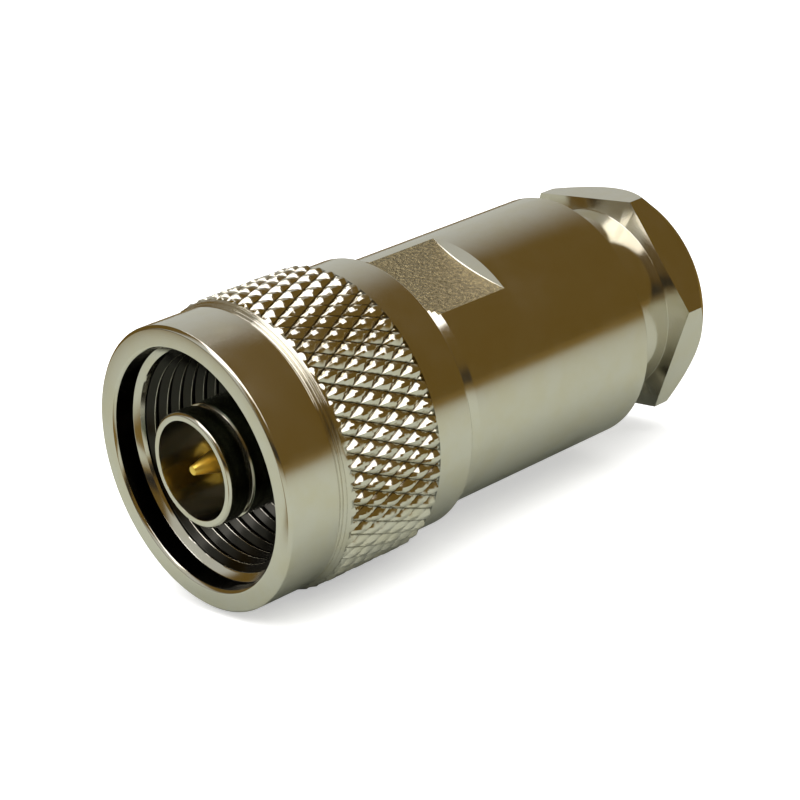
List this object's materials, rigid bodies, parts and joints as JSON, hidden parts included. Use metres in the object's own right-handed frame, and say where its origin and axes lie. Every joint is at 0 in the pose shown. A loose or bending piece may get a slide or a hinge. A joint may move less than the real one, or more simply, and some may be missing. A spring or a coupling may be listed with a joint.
{
  "type": "n type coaxial cable plug",
  "caption": "Coaxial cable plug with a knurled coupling nut that turns on its body, a pin in an outer contact sleeve, and a hex clamp nut for the cable.",
  "frame": {"origin": "on the connector's axis, in the plane of the coupling nut's front rim", "axes": "-X out of the mating end, +X towards the cable end, +Z normal to the top flat of the hex clamp nut"},
  "size_m": [0.0424, 0.0208, 0.0208],
  "materials": {
    "nickel_plate": "bright nickel plate over brass, slightly satin",
    "gold_plate": "gold plate",
    "spring_steel": "plain spring steel",
    "bare_brass": "turned brass",
    "white_insulator": "waxy white fluoropolymer",
    "gasket_rubber": "matt black rubber"
  },
  "bodies": {
    "plug_body": {"body_shell": "nickel_plate", "retaining_ring": "spring_steel", "front_gasket": "gasket_rubber", "centre_pin": "gold_plate", "front_insulator": "white_insulator", "rear_insulator": "white_insulator", "braid_clamp": "bare_brass", "clamp_gasket": "gasket_rubber"},
    "coupling_nut": {"coupling_nut": "nickel_plate"},
    "slip_washer": {"slip_washer": "bare_brass"},
    "clamp_nut": {"clamp_nut": "nickel_plate"}
  },
  "joints": [
    {"name": "coupling_nut_spin", "type": "hinge", "parent": "plug_body", "child": "coupling_nut", "pos_m": [0, 0, 0], "axis": [1, 0, 0], "continuous": true},
    {"name": "clamp_nut_travel", "type": "slide", "parent": "plug_body", "child": "slip_washer", "axis": [1, 0, 0], "range_m": [0, 0.004]},
    {"name": "clamp_nut_turn", "type": "hinge", "parent": "slip_washer", "child": "clamp_nut", "pos_m": [0.038, 0, 0], "axis": [1, 0, 0], "range_deg": [0, 1440]}
  ],
  "couplings": [
    {"joint": "clamp_nut_travel", "follows": "clamp_nut_turn", "m_per_rad": 0.00015915}
  ]
}
